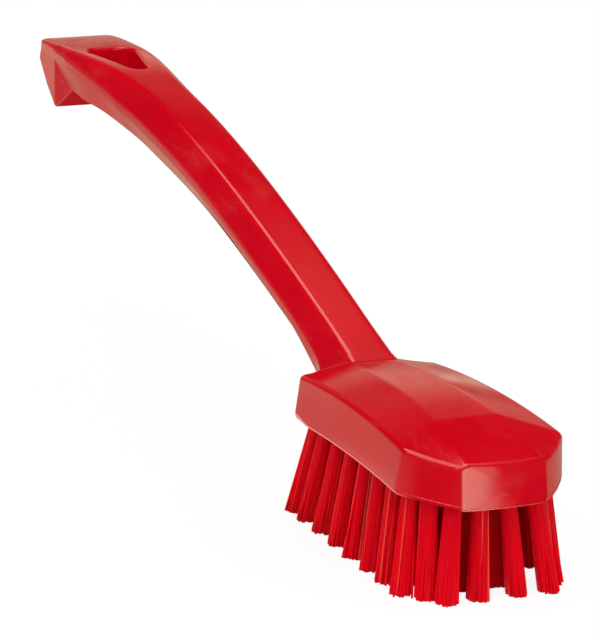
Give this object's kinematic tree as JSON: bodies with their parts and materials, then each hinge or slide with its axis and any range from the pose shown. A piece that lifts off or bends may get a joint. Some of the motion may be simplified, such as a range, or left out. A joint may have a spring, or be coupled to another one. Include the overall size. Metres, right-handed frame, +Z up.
{
  "type": "dish brush",
  "caption": "Red one-piece plastic washing-up brush with a curved handle, hanging hole, scraper hook and splayed bristle tufts.",
  "frame": {"origin": "middle of the bounding box, on the plane of the bristle tips", "axes": "+X along the brush from the handle's hook to the head's nose, +Y to the left seen from the handle, +Z up out of the bristles"},
  "size_m": [0.2712, 0.053, 0.099],
  "materials": {
    "moulded_plastic": "gloss injection-moulded polypropylene, red",
    "filament": "straight polyester filament, red, semi-gloss"
  },
  "bodies": {
    "root": {"handle_and_head": "moulded_plastic", "tuft_01": "filament", "tuft_02": "filament", "tuft_03": "filament", "tuft_04": "filament", "tuft_05": "filament", "tuft_06": "filament", "tuft_07": "filament", "tuft_08": "filament", "tuft_09": "filament", "tuft_10": "filament", "tuft_11": "filament", "tuft_12": "filament", "tuft_13": "filament", "tuft_14": "filament", "tuft_15": "filament", "tuft_16": "filament", "tuft_17": "filament", "tuft_18": "filament", "tuft_19": "filament", "tuft_20": "filament", "tuft_21": "filament", "tuft_22": "filament", "tuft_23": "filament", "tuft_24": "filament", "tuft_25": "filament", "tuft_26": "filament", "tuft_27": "filament", "tuft_28": "filament", "tuft_29": "filament", "tuft_30": "filament", "tuft_31": "filament", "tuft_32": "filament", "tuft_33": "filament", "tuft_34": "filament", "tuft_35": "filament", "tuft_36": "filament", "tuft_37": "filament", "tuft_38": "filament", "tuft_39": "filament", "tuft_40": "filament", "tuft_41": "filament", "tuft_42": "filament", "tuft_43": "filament", "tuft_44": "filament"}
  },
  "joints": []
}
